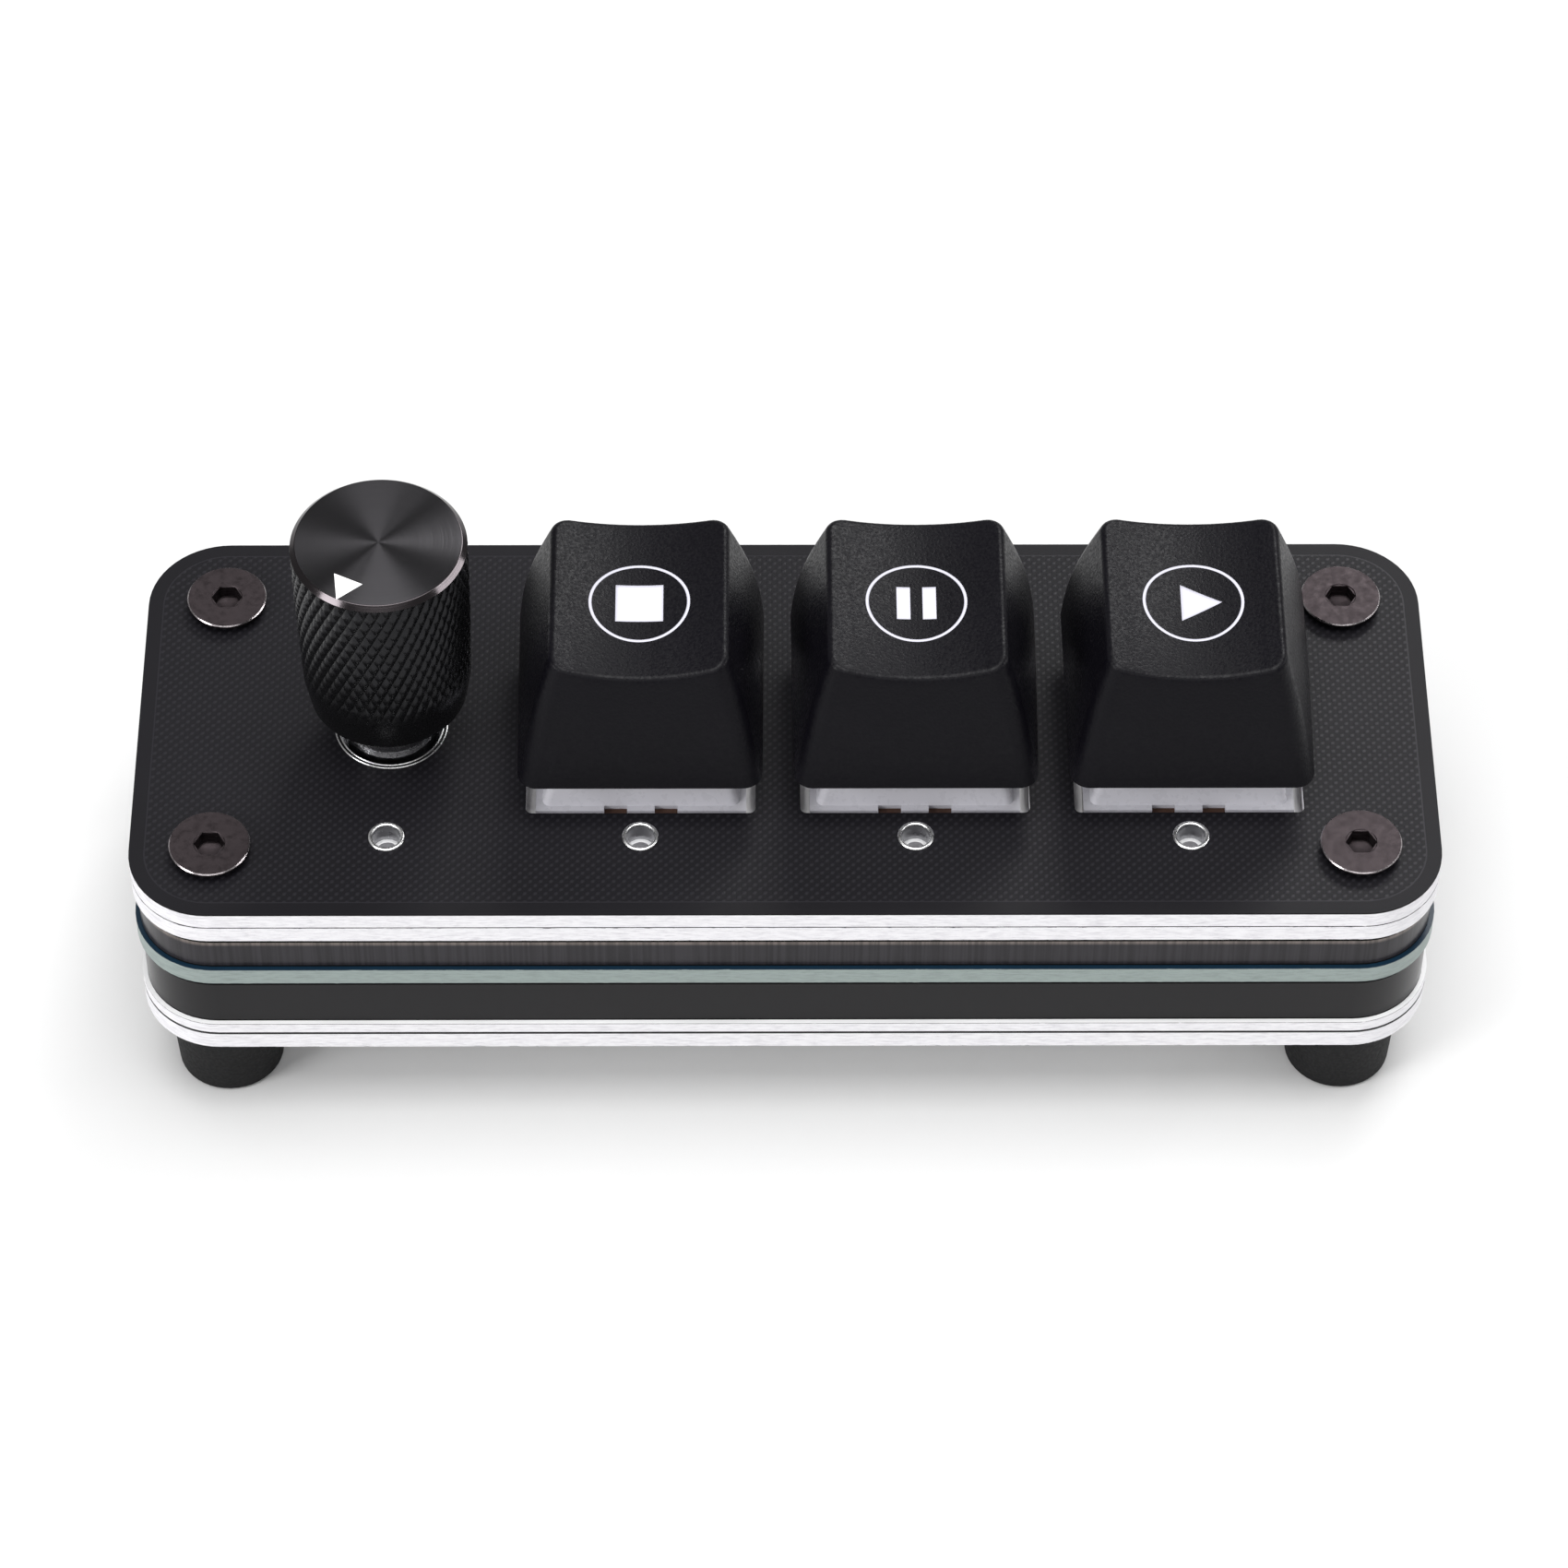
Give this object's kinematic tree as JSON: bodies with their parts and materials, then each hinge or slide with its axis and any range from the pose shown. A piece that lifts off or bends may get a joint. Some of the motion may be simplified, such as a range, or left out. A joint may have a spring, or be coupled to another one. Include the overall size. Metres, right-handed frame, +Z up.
{
  "type": "macro keypad",
  "caption": "Small desk keypad: a screwed stack of flat boards on rubber feet, with square push keys in a row and a knurled push knob at one end.",
  "frame": {"origin": "middle of the footprint, on the surface that the rubber feet stand on", "axes": "+Z up, +X along the row of keys away from the knob, the user sits at -Y"},
  "size_m": [0.0966, 0.036, 0.0449],
  "materials": {
    "black_board": "satin",
    "tin_plating": "polished",
    "white_board": "satin",
    "smoked_acrylic": "gloss",
    "blue_board": "satin",
    "black_acrylic": "gloss",
    "blackened_steel": "black oxide",
    "zinc_plated_steel": "zinc plated",
    "black_rubber": "matte",
    "brown_housing": "moulded",
    "milky_housing": "milky",
    "grey_stem": "moulded",
    "spring_steel": "bright",
    "contact_bronze": "bright",
    "black_keycap": "fine textured",
    "black_moulding": "moulded",
    "zinc_casting": "cast",
    "plated_brass": "nickel plated",
    "black_aluminium": "anodised",
    "white_enamel": "enamel",
    "drawn_steel": "drawn",
    "tan_ceramic": "ceramic",
    "light_package": "clear lens"
  },
  "bodies": {
    "case": {"faceplate": "black_board", "faceplate_plating": "tin_plating", "switch_plate": "white_board", "upper_spacer": "smoked_acrylic", "main_board": "blue_board", "lower_spacer": "black_acrylic", "base_plate_upper": "white_board", "base_plate_lower": "white_board", "case_screws": "blackened_steel", "case_nuts": "zinc_plated_steel", "feet": "black_rubber", "encoder_base": "black_moulding", "encoder_frame": "zinc_casting", "encoder_dome": "spring_steel", "encoder_pins": "contact_bronze", "usb_shell": "drawn_steel", "usb_tongue": "black_moulding", "controller_chip": "black_moulding", "clock_crystal": "drawn_steel", "voltage_regulator": "black_moulding", "matrix_diodes": "black_moulding", "chip_capacitors": "tan_ceramic", "status_lights": "light_package", "switch_1_lower_housing": "brown_housing", "switch_1_upper_housing": "milky_housing", "switch_1_spring": "spring_steel", "switch_1_contacts": "contact_bronze", "switch_2_lower_housing": "brown_housing", "switch_2_upper_housing": "milky_housing", "switch_2_spring": "spring_steel", "switch_2_contacts": "contact_bronze", "switch_3_lower_housing": "brown_housing", "switch_3_upper_housing": "milky_housing", "switch_3_spring": "spring_steel", "switch_3_contacts": "contact_bronze"},
    "key_1": {"keycap_1": "black_keycap", "switch_1_stem": "grey_stem"},
    "key_2": {"keycap_2": "black_keycap", "switch_2_stem": "grey_stem"},
    "key_3": {"keycap_3": "black_keycap", "switch_3_stem": "grey_stem"},
    "knob_push": {"encoder_plunger": "black_moulding"},
    "knob": {"encoder_shaft": "plated_brass", "knob_shell": "black_aluminium", "knob_pointer": "white_enamel", "knob_grub_screw": "blackened_steel"},
    "rotor": {"encoder_rotor": "black_moulding"}
  },
  "joints": [
    {"name": "key_1_press", "type": "slide", "parent": "case", "child": "key_1", "axis": [0, 0, -1], "range_m": [0, 0.0034], "stiffness_N_per_m": 100, "springref_m": -0.003, "deforming": ["switch_1_spring"]},
    {"name": "key_2_press", "type": "slide", "parent": "case", "child": "key_2", "axis": [0, 0, -1], "range_m": [0, 0.0034], "stiffness_N_per_m": 100, "springref_m": -0.003, "deforming": ["switch_2_spring"]},
    {"name": "key_3_press", "type": "slide", "parent": "case", "child": "key_3", "axis": [0, 0, -1], "range_m": [0, 0.0034], "stiffness_N_per_m": 100, "springref_m": -0.003, "deforming": ["switch_3_spring"]},
    {"name": "knob_press", "type": "slide", "parent": "case", "child": "knob_push", "axis": [0, 0, -1], "range_m": [0, 0.0005], "stiffness_N_per_m": 3000, "springref_m": -0.0002, "deforming": ["encoder_dome"]},
    {"name": "knob_turn", "type": "hinge", "parent": "knob_push", "child": "knob", "pos_m": [-0.0294, 0, 0.03], "axis": [0, 0, 1], "continuous": true},
    {"name": "rotor_turn", "type": "hinge", "parent": "case", "child": "rotor", "pos_m": [-0.0294, 0, 0.02], "axis": [0, 0, 1], "continuous": true}
  ],
  "couplings": [
    {"joint": "rotor_turn", "follows": "knob_turn", "ratio": 1}
  ]
}
